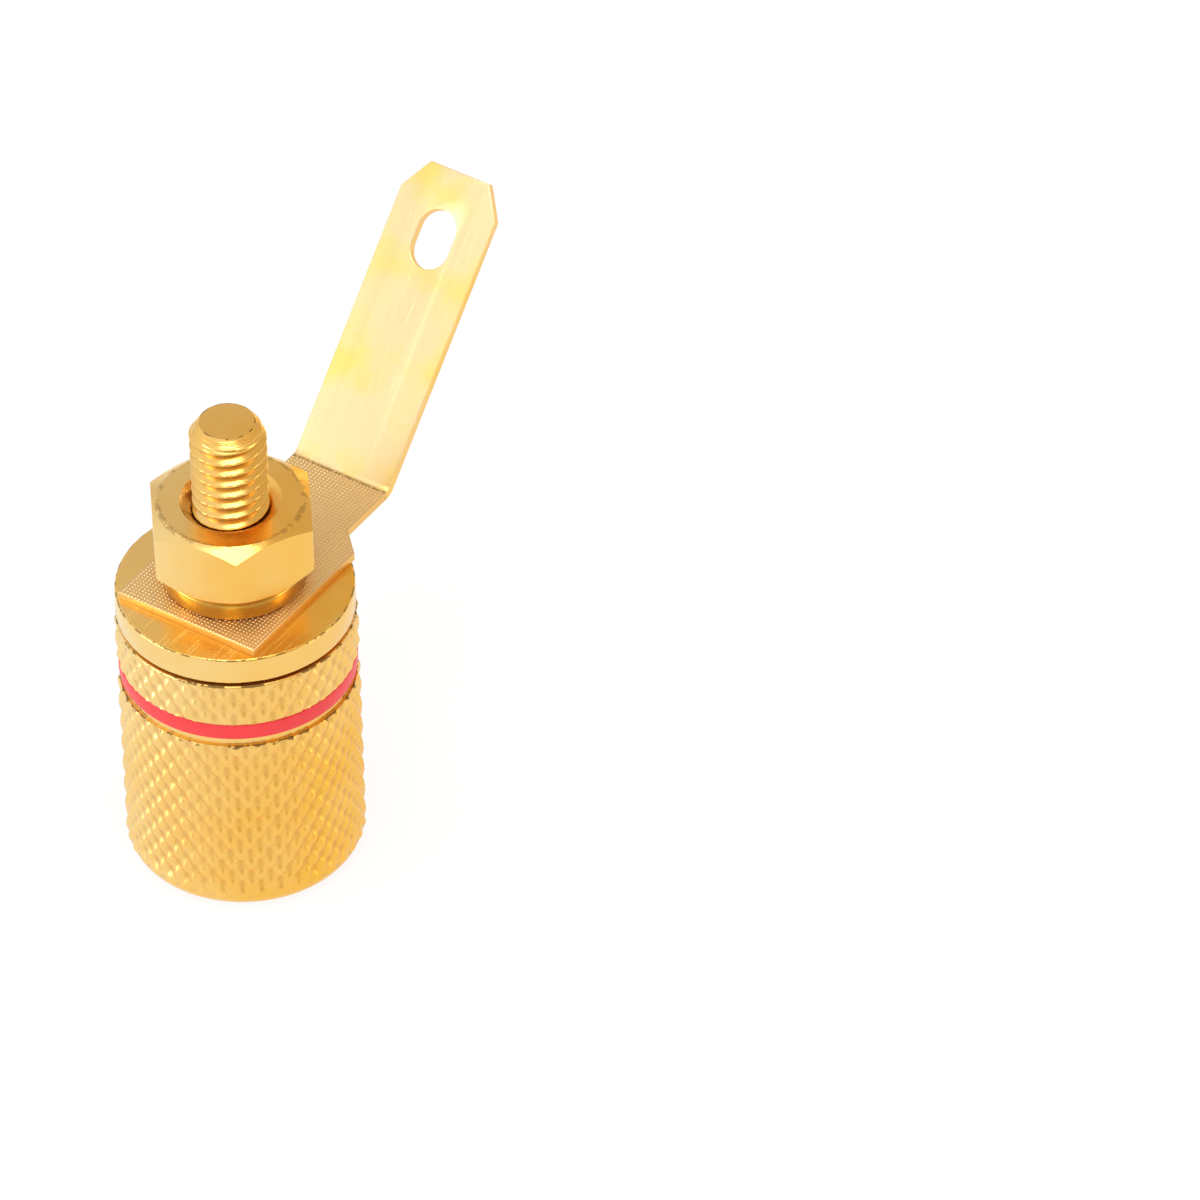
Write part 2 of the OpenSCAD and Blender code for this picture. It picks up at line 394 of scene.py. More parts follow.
def shape_by(piece, tree, **sizes):
    """Runs a Geometry Nodes tree on the piece, with its inputs set by name."""
    modifier = piece.modifiers.new(tree.name, "NODES")
    modifier.node_group = tree
    for item in tree.interface.items_tree:
        if item.item_type == "SOCKET" and item.in_out == "INPUT" and item.name in sizes:
            modifier[item.identifier] = sizes[item.name]
    settle(piece)


def cut_by(piece, tool, operation):
    """Cuts the piece with another solid, or keeps what they share, and removes the tool."""
    modifier = piece.modifiers.new(operation.title(), "BOOLEAN")
    modifier.operation = operation
    modifier.solver = "EXACT"
    modifier.object = tool
    settle(piece)
    bpy.data.objects.remove(tool)


def smooth(piece, sharp_angle):
    """Smooth shading with sharp edges past the angle, in degrees."""
    mesh = piece.data
    mesh.polygons.foreach_set("use_smooth", [True] * len(mesh.polygons))
    mesh.set_sharp_from_angle(angle=math.radians(sharp_angle))
    mesh.update()


def hand_over(piece, node, body, material):
    """Gives the piece its material and lets it stand for its construction node on its body."""
    piece.data.materials.clear()
    piece.data.materials.append(material)
    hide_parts(node)
    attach(piece, body)


# ------------------------ geometry node trees


def new_tree(name, numbers, **others):
    """A Geometry Nodes tree with a mesh, numbers, others and a material as inputs and a mesh as output."""
    tree = bpy.data.node_groups.new(name, "GeometryNodeTree")
    kinds = {"Geometry": "Geometry", **dict.fromkeys(numbers, "Float"), **others, "Material": "Material"}
    for socket, kind in kinds.items():
        tree.interface.new_socket(socket, in_out="INPUT", socket_type="NodeSocket" + kind)
    tree.interface.new_socket("Geometry", in_out="OUTPUT", socket_type="NodeSocketGeometry")
    maker = Maker(tree)
    return maker, maker.add("NodeGroupInput")


def finish_tree(maker, inputs, shape):
    """Ends a tree in Realize Instances and Set Material."""
    real = maker.add("GeometryNodeRealizeInstances", {0: shape})
    dressed = maker.add("GeometryNodeSetMaterial", {"Geometry": real, "Material": inputs["Material"]})
    maker.add("NodeGroupOutput", {0: dressed})
    return maker.tree


def round_the_axis(maker):
    """Position, its turn round the axis from -0.5 to 0.5, its height and its outward direction."""
    position = maker.add("GeometryNodeInputPosition")
    x, y, z = maker.axes(position)
    turn = y.math("ARCTAN2", y, x) / FULL_TURN
    flat = maker.add("ShaderNodeCombineXYZ", {"X": x, "Y": y})
    outward = maker.add("ShaderNodeVectorMath", {0: flat}, operation="NORMALIZE")
    return position, turn, z, outward


def press_in(maker, inputs, outward, pressed):
    """Moves each point in by pressed times Depth, keeps the deepest mark as hollow and ends the tree."""
    inward = pressed * inputs["Depth"] * -1
    shift = maker.add("ShaderNodeVectorMath", {0: outward, "Scale": inward}, operation="SCALE")
    moved = maker.add("GeometryNodeSetPosition", {"Geometry": inputs, "Offset": shift})
    deepest = pressed.math("MAXIMUM", maker.stored("hollow"), pressed)
    return finish_tree(maker, inputs, maker.store(moved, "hollow", deepest))


def knurl_tree():
    """Presses crossed helical grooves into the points marked knurl."""
    maker, inputs = new_tree("Diamond knurl", ("Diamonds", "Diamond length", "Depth", "Start", "Softness",
                                               "Unevenness", "Seed"))
    position, turn, z, outward = round_the_axis(maker)
    round_count = turn * inputs["Diamonds"]
    rise = (z - inputs["Start"]) / inputs["Diamond length"]
    rising = maker.ramp(rise.math("PINGPONG", round_count + rise, 0.5), 0.0, 0.5)
    falling = maker.ramp(rise.math("PINGPONG", round_count - rise, 0.5), 0.0, 0.5)
    softness = inputs["Softness"]
    pyramids = rising.math("MINIMUM", rising, falling)
    domes = (rising + falling) * 0.5
    crown = pyramids * (1 - softness) + domes * softness
    uneven = maker.add("ShaderNodeTexNoise", {"Vector": position, "W": inputs["Seed"], "Scale": 1300.0,
                                              "Detail": 2.0}, noise_dimensions="4D")
    depth = (1 - crown) + (uneven - 0.5) * inputs["Unevenness"]
    depth = maker.ramp(depth, 0.0, 1.0, smooth=False)
    return press_in(maker, inputs, outward, depth * maker.stored("knurl"))


def thread_tree():
    """Presses a right-handed thread into the points that carry the given mark."""
    maker, inputs = new_tree("Thread", ("Pitch", "Depth"), Mark="String")
    _, turn, z, outward = round_the_axis(maker)
    along = z / inputs["Pitch"] - turn
    flank = along.math("PINGPONG", along, 0.5) * 2
    flat = 0.1
    root = maker.ramp(flank, flat, 1 - flat, smooth=False)
    return press_in(maker, inputs, outward, root * maker.stored(inputs["Mark"]))


def dots_tree():
    """Adds a flattened ball on each point of a guide object."""
    maker, inputs = new_tree("Embossed dots", ("Radius", "Height"), Guide="Object")
    guide = maker.add("GeometryNodeObjectInfo", {"Object": inputs["Guide"]}, "Geometry",
                      transform_space="ORIGINAL")
    ball = maker.add("GeometryNodeMeshUVSphere", {"Segments": 7, "Rings": 4, "Radius": 1.0})
    radius = inputs["Radius"]
    size = maker.add("ShaderNodeCombineXYZ", {"X": radius, "Y": radius, "Z": inputs["Height"]})
    dots = maker.add("GeometryNodeInstanceOnPoints", {"Points": guide, "Instance": ball, "Scale": size})
    real = maker.add("GeometryNodeRealizeInstances", {0: dots})
    raised = maker.store(real, "dot", 1.0)
    both = maker.add("GeometryNodeJoinGeometry")
    for part in (inputs, raised):
        maker.tree.links.new(part.socket, both.socket.node.inputs[0])
    return finish_tree(maker, inputs, both)


# ------------------------ materials

# Noise scales, as features in a metre
CLOUDS = 330.0
REFLECTION_CLOUDS = 420.0
PATCHES = 2400.0
GRAIN = 6500.0
TOOL_LINES = 9000.0
BUMP_DEPTH = 0.02 * MM

Edge = namedtuple("Edge", "radius height width")


def new_material(name):
    """An empty material, the maker of its nodes and the place on the piece."""
    material = bpy.data.materials.new(name)
    maker = emptied(material)
    return material, maker, maker.add("ShaderNodeTexCoord", output="Object")


def emptied(owner):
    """The maker of the nodes of a material or a world, which starts with none."""
    owner.use_nodes = True
    owner.node_tree.nodes.clear()
    return Maker(owner.node_tree)


def coat(maker, relief, strength, looks):
    """Ends a material in one Principled shader with a fine bump."""
    bump = maker.add("ShaderNodeBump", {"Strength": strength, "Distance": BUMP_DEPTH, "Height": relief})
    shader = maker.add("ShaderNodeBsdfPrincipled", {**looks, "Normal": bump})
    maker.add("ShaderNodeOutputMaterial", {"Surface": shader})


def scratches(maker, place, turn, low):
    """Thin straight scratches across XY at the given turn; a higher low leaves fewer."""
    laid = maker.stretch(place, (180.0, 9000.0, 400.0), turn)
    return maker.ramp(maker.noise(laid, 1.0, 1.0), low, low + 0.05)


def worn_edges(maker, place, edges):
    """Patchy marks along turned edges."""
    x, y, z = maker.axes(place)
    reach = (x * x + y * y) ** 0.5
    patches = maker.ramp(maker.noise(place, PATCHES, 2.0), 0.47, 0.55)
    total = None
    for edge in edges:
        away = ((reach - edge.radius) ** 2 + (z - edge.height) ** 2) ** 0.5
        line = maker.ramp(away, edge.width, 0.5 * edge.width)
        total = line if total is None else total.math("MAXIMUM", total, line)
    return total * patches


def gold(name, finish, rough, pale_shift=0.1, rings=0.0, grain=0.0, brushed=None, hollow=0.6, edges=(),
         wear=0.85, scratched_z=None, painted_reflection=0.0, paler=None, half_width=6.5 * MM):
    """Gold plating, paler towards +Y and warmer towards -Y: painted light, a sheen from +Y and a warm
    bounce from -Y.

    rings, grain and brushed, the scale of lines along X, Y and Z, set the relief. hollow paints shade into
    pits and roots. The colour turns paler from the first height of paler to the second. scratched_z is the
    height of a scratched face.
    """
    material, maker, place = new_material(name)
    x, y, z = maker.axes(place)
    cloud = maker.noise(place, CLOUDS, 4.0)
    # Painted light: paler towards +Y, a painted sheen of light from that side, and warmer towards -Y, a
    # painted warm bounce light; the clouds are the plating's own uneven tone.
    side = maker.ramp(y, -half_width, half_width)
    plating_tone_and_painted_light = side * 0.75 + (cloud - 0.5) * 0.7 + pale_shift
    if paler:
        plating_tone_and_painted_light = plating_tone_and_painted_light + maker.ramp(z, *paler) * 0.35
    plating_tone_and_painted_light = maker.ramp(plating_tone_and_painted_light, 0.0, 1.0, smooth=False)
    colour = maker.blend(plating_tone_and_painted_light, finish.warm, finish.pale)
    relief = maker.noise(place, GRAIN, 2.0) * grain
    if rings:
        reach = (x * x + y * y) ** 0.5
        lines = maker.add("ShaderNodeTexNoise", {"W": reach + z, "Scale": TOOL_LINES, "Detail": 3.0},
                          noise_dimensions="1D")
        relief = relief + lines * rings
    if brushed:
        relief = relief + maker.noise(maker.stretch(place, brushed), 1.0) * 0.8
    # Painted shade: pits and thread roots turn towards the shade colour by hollow.
    shade = maker.ramp(maker.attribute("hollow"), 0.58, 1.0) * hollow
    # Painted reflection: clouds of the shade colour stand for dark reflections in the wall, on the washer.
    if painted_reflection:
        dark_reflection = maker.ramp(maker.noise(place, REFLECTION_CLOUDS), 0.34, 0.56)
        shade = shade.math("MAXIMUM", shade, dark_reflection * painted_reflection)
    colour = maker.blend(shade, colour, finish.painted_shade)
    uneven = rough + (cloud - 0.5) * 0.12 + shade * 0.2
    if scratched_z is not None:
        marks = scratches(maker, place, turn=35, low=0.66) + scratches(maker, place, turn=-20, low=0.68)
        marks = marks * maker.ramp(z.math("ABSOLUTE", z - scratched_z), 0.02 * MM, 0.01 * MM)
        relief = relief - marks
        colour = maker.blend(marks.math("MINIMUM", marks, 0.8), colour, finish.pale)
    if edges:
        worn = worn_edges(maker, place, edges) * wear
        colour = maker.blend(worn, colour, finish.tarnish)
        uneven = uneven + worn * 0.3
    coat(maker, relief, 0.35, {"Base Color": colour, "Metallic": 1.0, "Roughness": uneven})
    return material


def sheet_gold(name, finish, bend_x):
    """Satin plating: pale with yellow clouds on the tail; on the base, dots with painted shade between
    them, browner and darker for their self-shadowing and double reflections.
    """
    material, maker, place = new_material(name)
    x = maker.axes(place)[0]
    cloud = maker.noise(place, 240.0, 5.0)
    tail = maker.blend(maker.ramp(cloud, 0.42, 0.7), finish.sheet, finish.sheet_yellow)
    # Painted shade: the base is browner than the tail, and darker between its dots, for the dots'
    # self-shadowing and double reflections.
    past = maker.ramp(x, bend_x - 0.05 * MM, bend_x + 0.15 * MM)
    shaded_between_dots = [0.86 * c for c in finish.shaded_base]
    base = maker.blend(maker.attribute("dot"), shaded_between_dots, finish.sheet)
    colour = maker.blend(past, base, tail)
    away = x.math("ABSOLUTE", x - (bend_x - 0.04 * MM))
    broken = maker.ramp(maker.noise(place, 5200.0, 1.0), 0.4, 0.56)
    crease = maker.ramp(away, 0.16 * MM, 0.04 * MM) * broken
    colour = maker.blend(crease * 0.55, colour, finish.tarnish)
    colour = maker.blend(maker.attribute("rim") * 0.55, colour, finish.warm)
    rolled = maker.noise(maker.stretch(place, (300.0, 6000.0, 300.0)), 1.0)
    marks = scratches(maker, place, turn=62, low=0.68) + scratches(maker, place, turn=-8, low=0.7)
    relief = rolled * 0.8 + maker.noise(place, GRAIN, 2.0) * 0.5 - marks
    uneven = 0.42 + (cloud - 0.5) * 0.2 - past * 0.04
    coat(maker, relief, 0.3, {"Base Color": colour, "Metallic": 1.0, "Roughness": uneven})
    return material


def red_plastic(name, colour):
    """Moulded plastic with a slight sheen and faint mottling."""
    material, maker, place = new_material(name)
    cloud = maker.noise(place, 600.0)
    mixed = maker.blend(cloud, [0.8 * c for c in colour], colour)
    coat(maker, cloud, 0.2, {"Base Color": mixed, "Roughness": 0.34 + cloud * 0.12})
    return material


# ------------------------ pieces


class BINDINGPOST_OT_cap(Operator):
    """Build the knurled cap with its groove and threaded bore"""

    bl_idname = "binding_post.cap"
    bl_label = "Cap"

    cells: IntProperty(name="Cells", description="Mesh cells across one diamond", default=10)

    def execute(self, context):
        post = context.scene.binding_post
        sizes, finish = post.cap, post.finish
        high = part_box("cap")[1]
        outer, top = high.x, high.z
        plug = MOUNTS["plug_hole"]["dims"]["r_mm"] * MM
        start = sizes.rim
        step = sizes.diamond_length / self.cells
        mean_depth = 0.4 * sizes.knurl_depth
        plain = outer - mean_depth
        floor = outer - sizes.groove_depth
        land = outer - sizes.land
        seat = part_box("colour_ring")[0].z - sizes.ring_seat
        groove_top = sizes.groove_z + sizes.groove_width
        lip_z = top - sizes.lip
        edge = sizes.edge
        pitch = post.post.barrel_pitch
        rings = [Ring(plug + edge, 0)]
        rings += rounded(plain - sizes.rim, sizes.rim, sizes.rim, -90, 0, steps=10)
        first_depth = 0.35
        for ring in climb(outer, start + 0.02 * MM, sizes.groove_z, step, start):
            grown = (ring.height - start) / sizes.fade_in
            rings.append(ring._replace(knurl=min(1.0, first_depth + (1 - first_depth) * grown)))
        rings += [Ring(land, sizes.groove_z), Ring(land, seat), Ring(floor, seat), Ring(floor, groove_top)]
        rings += climb(outer, groove_top, lip_z, step, start, knurl=1)
        rings += rounded(plain - edge, top - edge, edge, 0, 90, steps=3)
        rings += [Ring(sizes.bore + sizes.lead_in, top)]
        thread_end = sizes.end_wall + pitch
        rows = 8
        rings += climb(sizes.bore, top - sizes.lead_in, thread_end, pitch / rows, barrel_thread=1)
        rings += [Ring(sizes.bore, sizes.end_wall), Ring(plug, sizes.end_wall), Ring(plug, edge)]

        def along_the_grooves(lower, upper, column, height):
            """Splits a cell of the knurl so that its diagonal follows the groove that crosses it."""
            row = math.floor((height - start) / step + 0.5)
            a, b = lower
            c, d = upper
            if (column - row) % (self.cells // 2) == 0:
                return [[a, b, c], [a, c, d]]
            return [[a, b, d], [b, c, d]]

        segments = sizes.diamonds * self.cells
        cap = turned("knurled_cap", rings, segments, closed=True, diagonal=along_the_grooves)
        edges = [Edge(plain, top, 0.13 * MM), Edge(outer - 0.1 * MM, sizes.groove_z, 0.17 * MM)]
        # hollow paints shade into the knurl's pits.
        material = gold("gold_knurl", finish, 0.29, grain=0.7, hollow=0.3, edges=edges,
                        paler=(7 * MM, 14 * MM))
        shape_by(cap, knurl_tree(), Diamonds=float(sizes.diamonds), Start=start, Seed=3.0,
                 Depth=sizes.knurl_depth, Softness=sizes.softness, Unevenness=sizes.unevenness,
                 Material=material, **{"Diamond length": sizes.diamond_length})
        shape_by(cap, thread_tree(), Mark="barrel_thread", Pitch=pitch, Depth=post.post.barrel_depth,
                 Material=material)
        smooth(cap, sharp_angle=50)
        hand_over(cap, "cap", "cap_body", material)
        return {"FINISHED"}


class BINDINGPOST_OT_ring(Operator):
    """Build the red ring in the cap's groove"""

    bl_idname = "binding_post.ring"
    bl_label = "Colour ring"

    def execute(self, context):
        post = context.scene.binding_post
        low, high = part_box("colour_ring")
        edge = 0.1 * MM
        play = 0.06 * MM
        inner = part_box("cap")[1].x - post.cap.groove_depth + play
        rings = rounded(high.x - edge, low.z + edge, edge, -90, 0)
        rings += rounded(high.x - edge, high.z - edge, edge, 0, 90)
        rings += [Ring(inner, high.z), Ring(inner, low.z)]
        ring = turned("red_ring", rings, segments=192, closed=True)
        smooth(ring, sharp_angle=40)
        hand_over(ring, "colour_ring", "ring_body", red_plastic("red", post.finish.red))
        return {"FINISHED"}


class BINDINGPOST_OT_post(Operator):
    """Build the turned post: threaded barrel, neck, flange and stud"""

    bl_idname = "binding_post.post"
    bl_label = "Post"

    def execute(self, context):
        everything = context.scene.binding_post
        sizes, finish = everything.post, everything.finish
        low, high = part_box("post")
        bottom, top, flange = low.z, high.z, high.x
        socket = MOUNTS["socket"]["dims"]["r_mm"] * MM
        socket_end = bottom + MOUNTS["socket"]["dims"]["length_mm"] * MM
        cone = socket / math.tan(DRILL_POINT)
        root = sizes.barrel - sizes.neck
        barrel_rows, stud_rows, tool_marks = 10, 24, 14
        rings = [Ring(0, socket_end + cone), Ring(socket, socket_end), Ring(socket, bottom),
                 Ring(sizes.barrel - sizes.chamfer, bottom)]
        rings += climb(sizes.barrel, bottom + sizes.chamfer, sizes.neck_z - root,
                       sizes.barrel_pitch / barrel_rows, barrel_thread=1)
        rings += [Ring(sizes.neck, sizes.neck_z), Ring(sizes.neck, sizes.flange_z)]
        rings += rounded(flange - sizes.edge, sizes.flange_z + sizes.edge, sizes.edge, -90, 0, steps=3)
        rings += rounded(flange - sizes.edge, sizes.tag_z - sizes.edge, sizes.edge, 0, 90, steps=3)
        rings += [Ring(sizes.stud, sizes.tag_z)]
        rings += climb(sizes.stud, sizes.tag_z + 0.1 * MM, top - sizes.tip_height,
                       sizes.stud_pitch / stud_rows, stud_thread=1)
        for k in range(1, tool_marks):
            done = k / tool_marks
            ridge = sizes.tip_ridge if k % 2 else -sizes.tip_ridge
            rings += [Ring(sizes.stud + (sizes.tip - sizes.stud) * done + ridge,
                           top - sizes.tip_height * (1 - done), stud_thread=0.7 * (1 - done) ** 2)]
        rings += [Ring(sizes.tip, top), Ring(0, top)]
        body = turned("turned_post", rings, segments=144, closed=False)
        edges = [Edge(flange, sizes.tag_z, 0.1 * MM), Edge(flange, sizes.flange_z, 0.06 * MM),
                 Edge(sizes.tip, top, 0.05 * MM)]
        # hollow paints shade into the thread roots.
        material = gold("gold_turned", finish, 0.25, rings=0.8, grain=0.3, hollow=0.75, edges=edges,
                        scratched_z=sizes.tag_z, paler=(sizes.tag_z - 0.02 * MM, sizes.tag_z - 0.1 * MM))
        shape_by(body, thread_tree(), Mark="stud_thread", Pitch=sizes.stud_pitch,
                 Depth=sizes.stud_depth, Material=material)
        shape_by(body, thread_tree(), Mark="barrel_thread", Pitch=sizes.barrel_pitch,
                 Depth=sizes.barrel_depth, Material=material)
        wire = MOUNTS["wire_hole"]
        reach = 2 * sizes.barrel
        radius = wire["dims"]["r_mm"] * MM
        rod = [Ring(0, -reach), Ring(radius, -reach), Ring(radius, reach), Ring(0, reach)]
        drill = turned("drill", rod, segments=48, closed=False)
        drill.data.transform(Matrix.Translation(wire["pos_m"]) @ Matrix.Rotation(math.pi / 2, 4, "X"))
        cut_by(body, drill, "DIFFERENCE")
        smooth(body, sharp_angle=40)
        hand_over(body, "post", "post_body", material)
        return {"FINISHED"}


class BINDINGPOST_OT_tag(Operator):
    """Build the bent solder tag with its embossed dots"""

    bl_idname = "binding_post.tag"
    bl_label = "Solder tag"

    def execute(self, context):
        post = context.scene.binding_post
        sizes, finish = post.tag, post.finish
        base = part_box("solder_tag")[0].z
        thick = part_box("spring_washer")[0].z - base
        neutral = sizes.bend_radius + thick / 2
        bend_length = neutral * sizes.bend_angle
        tip = sizes.bend_x + bend_length + sizes.tail_length
        half_base, half_tail = sizes.base_width / 2, sizes.tail_width / 2
        shoulder = half_base - half_tail
        half = [(-sizes.back, half_base), (sizes.shoulder_x, half_base),
                (sizes.shoulder_x + shoulder, half_tail), (tip - sizes.tip_cut, half_tail),
                (tip, sizes.tip_width / 2)]
        outline = [(x, -y) for x, y in half] + list(reversed(half))
        slot_x = tip - sizes.slot_from_tip
        slot_r = sizes.slot_width / 2
        run = (sizes.slot_length - sizes.slot_width) / 2
        slot = []
        slot_steps, hole_steps, bend_steps = 16, 64, 12
        for side, first in ((1, -90), (-1, 90)):
            for k in range(slot_steps + 1):
                a = math.radians(first + 180 * k / slot_steps)
                slot.append((slot_x + side * run + slot_r * math.cos(a), slot_r * math.sin(a)))
        turns = [FULL_TURN * k / hole_steps for k in range(hole_steps)]
        hole = [(sizes.hole * math.cos(a), sizes.hole * math.sin(a)) for a in turns]
        sheet = self.stamped([outline, slot, hole], thick, sizes.edge)
        self.score(sheet, [sizes.bend_x + bend_length * k / bend_steps for k in range(bend_steps + 1)])
        sheet.data.transform(Matrix.Translation((0, 0, thick / 2)))
        self.bend(sheet, sizes, base, thick, neutral)
        guide = self.dot_guide(sizes, base + thick, half_base, half_tail)
        material = sheet_gold("gold_sheet", finish, sizes.bend_x)
        shape_by(sheet, dots_tree(), Guide=guide, Radius=sizes.dot_radius, Height=sizes.dot_height,
                 Material=material)
        bpy.data.objects.remove(guide)
        smooth(sheet, sharp_angle=35)
        hand_over(sheet, "solder_tag", "tag_body", material)
        return {"FINISHED"}

    def stamped(self, outlines, thick, edge):
        """A flat sheet with rounded edges, centred on its mid plane."""
        curve = bpy.data.curves.new("tag_outline", "CURVE")
        curve.dimensions = "2D"
        curve.fill_mode = "BOTH"
        curve.extrude = thick / 2 - edge
        curve.bevel_depth = edge
        curve.bevel_resolution = 2
        curve.offset = -edge
        for points in outlines:
            spline = curve.splines.new("POLY")
            spline.points.add(len(points) - 1)
            for point, (x, y) in zip(spline.points, points):
                point.co = (x, y, 0, 1)
            spline.use_cyclic_u = True
        drawn = placed("solder_sheet", curve)
        view = bpy.context.evaluated_depsgraph_get()
        mesh = bpy.data.meshes.new_from_object(drawn.evaluated_get(view))
        bpy.data.objects.remove(drawn)
        shape = bmesh.new()
        shape.from_mesh(mesh)
        bmesh.ops.remove_doubles(shape, verts=shape.verts, dist=0.002 * MM)
        bmesh.ops.recalc_face_normals(shape, faces=shape.faces)
        shape.to_mesh(mesh)
        shape.free()
        wall = thick / 2 - 0.9 * edge
        rim = [1.0 if abs(vertex.co.z) < wall else 0.0 for vertex in mesh.vertices]
        mesh.attributes.new("rim", "FLOAT", "POINT").data.foreach_set("value", rim)
        return placed("solder_sheet", mesh)

    def score(self, sheet, places):
        """Splits the sheet's faces across at each place along X, so that it can bend there."""
        shape = bmesh.new()
        shape.from_mesh(sheet.data)
        for x in places:
            everything = shape.verts[:] + shape.edges[:] + shape.faces[:]
            bmesh.ops.bisect_plane(shape, geom=everything, plane_co=(x, 0, 0), plane_no=(1, 0, 0))
        bmesh.ops.triangulate(shape, faces=shape.faces[:])
        shape.to_mesh(sheet.data)
        shape.free()

    def bend(self, sheet, sizes, base, thick, neutral):
        """Lays the flat sheet on the flange and turns its tail up round the bend."""
        centre = base + thick + sizes.bend_radius
        for vertex in sheet.data.vertices:
            x, y, up = vertex.co
            past = x - sizes.bend_x
            if past <= 0:
                vertex.co = (x, y, base + up)
                continue
            turn = min(past / neutral, sizes.bend_angle)
            straight = max(0, past - neutral * sizes.bend_angle)
            arm = sizes.bend_radius + thick - up
            vertex.co = (sizes.bend_x + arm * math.sin(turn) + straight * math.cos(turn), y,
                         centre - arm * math.cos(turn) + straight * math.sin(turn))

    def dot_guide(self, sizes, height, half_base, half_tail):
        """Points of the embossed grid on the base, clear of its edges and of the stud's hole."""
        pitch, margin = sizes.dot_pitch, 1.3 * sizes.dot_radius
        points = []
        for column in range(math.ceil(-sizes.back / pitch), math.floor(sizes.bend_x / pitch) + 1):
            x = column * pitch
            half = max(half_tail, min(half_base, half_base - (x - sizes.shoulder_x))) - margin
            rows = math.floor(half / pitch)
            for row in range(-rows, rows + 1):
                y = row * pitch
                if math.hypot(x, y) > sizes.hole + margin and x > margin - sizes.back:
                    points.append((x, y, height))
        mesh = bpy.data.meshes.new("dot_guide")
        mesh.from_pydata(points, [], [])
        return placed("dot_guide", mesh)


class BINDINGPOST_OT_washer(Operator):
    """Build the split spring washer"""

    bl_idname = "binding_post.washer"
    bl_label = "Spring washer"

    def execute(self, context):
        post = context.scene.binding_post
        sizes, finish = post.washer, post.finish
        low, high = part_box("spring_washer")
        inner, outer, edge = post.tag.hole, high.x, sizes.edge
        small = edge / 3
        profile = rounded(outer - edge, low.z + edge, edge, -90, 0)
        profile += rounded(outer - edge, high.z - edge, edge, 0, 90)
        profile += rounded(inner + small, high.z - small, small, 90, 180, steps=2)
        profile += rounded(inner + small, low.z + small, small, 180, 270, steps=2)
        middle = (low.z + high.z) / 2
        points, faces = [], []
        count, steps = len(profile), 160
        for k in range(steps + 1):
            for ring in profile:
                lean = math.tan(sizes.slant) * (ring.height - middle)
                gap = sizes.split / 2 / math.cos(sizes.slant)
                start = math.asin((gap - lean) / ring.radius)
                end = FULL_TURN - math.asin((gap + lean) / ring.radius)
                a = sizes.direction + start + (end - start) * k / steps
                points.append((ring.radius * math.cos(a), ring.radius * math.sin(a), ring.height))
        for k in range(steps):
            for i in range(count):
                n = (i + 1) % count
                faces.append([k * count + i, (k + 1) * count + i, (k + 1) * count + n, k * count + n])
        faces.append(list(range(count)))
        faces.append([steps * count + i for i in reversed(range(count))])
        mesh = bpy.data.meshes.new("split_washer")
        mesh.from_pydata(points, [], faces)
        washer = placed("split_washer", mesh)
        smooth(washer, sharp_angle=40)
        edges = [Edge(outer - edge, low.z, 0.12 * MM)]
        # The washer is painted warmer and darker all round, with clouds of the shade colour: painted dark
        # reflections of the tag in its wall.
        material = gold("gold_washer", finish, 0.17, pale_shift=-0.35, rings=0.4, grain=0.2, edges=edges,
                        painted_reflection=0.75)
        hand_over(washer, "spring_washer", "washer_body", material)
        return {"FINISHED"}


class BINDINGPOST_OT_nut(Operator):
    """Build the hex nut with its rounded corners, countersinks and thread"""

    bl_idname = "binding_post.nut"
    bl_label = "Hex nut"

    def execute(self, context):
        post = context.scene.binding_post
        sizes, finish = post.nut, post.finish
        low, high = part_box("hex_nut")
        face, corner = sizes.across_flats / 2, sizes.across_flats / math.sqrt(3)
        bore = post.tag.hole
        reach = corner + 0.05 * MM
        rings = [Ring(bore + sizes.sink, low.z), Ring(sizes.lower_face, low.z),
                 Ring(reach, low.z + sizes.lower_cut), Ring(reach, high.z - sizes.corner_cut),
                 Ring(face - sizes.top_inset, high.z), Ring(bore + sizes.sink, high.z)]
        step = post.post.stud_pitch / 12
        rings += climb(bore, high.z - sizes.sink, low.z + sizes.sink, step, stud_thread=1)
        blank = turned("nut_m4", rings, segments=160, closed=True)
        burrs = [Edge(face - sizes.top_inset, high.z, 0.2 * MM)]
        # A narrow half width lets the painted side light change across the nut: its faces towards +Y
        # paler, those towards -Y warmer.
        material = gold("gold_nut", finish, 0.24, pale_shift=0.25, rings=0.4, grain=0.3,
                        brushed=(2500.0, 2500.0, 150.0), edges=burrs, wear=0.4, half_width=3 * MM)
        shape_by(blank, thread_tree(), Mark="stud_thread", Pitch=post.post.stud_pitch,
                 Depth=post.post.stud_depth, Material=material)
        prism = bmesh.new()
        for z in (low.z - MM, high.z + MM):
            for k in range(6):
                a = sizes.corner_direction + k * FULL_TURN / 6
                prism.verts.new((corner * math.cos(a), corner * math.sin(a), z))
        prism.verts.ensure_lookup_table()
        corners = prism.verts[:]
        prism.faces.new(list(reversed(corners[:6])))
        prism.faces.new(corners[6:])
        for k in range(6):
            n = (k + 1) % 6
            prism.faces.new((corners[k], corners[n], corners[6 + n], corners[6 + k]))
        upright = [e for e in prism.edges if abs(e.verts[0].co.z - e.verts[1].co.z) > MM]
        bmesh.ops.bevel(prism, geom=upright, offset=sizes.edge, segments=3, profile=0.5, affect="EDGES")
        mesh = bpy.data.meshes.new("prism")
        prism.to_mesh(mesh)
        prism.free()
        cut_by(blank, placed("prism", mesh), "INTERSECT")
        smooth(blank, sharp_angle=25)
        hand_over(blank, "hex_nut", "nut_body", material)
        return {"FINISHED"}


# ------------------------ stage

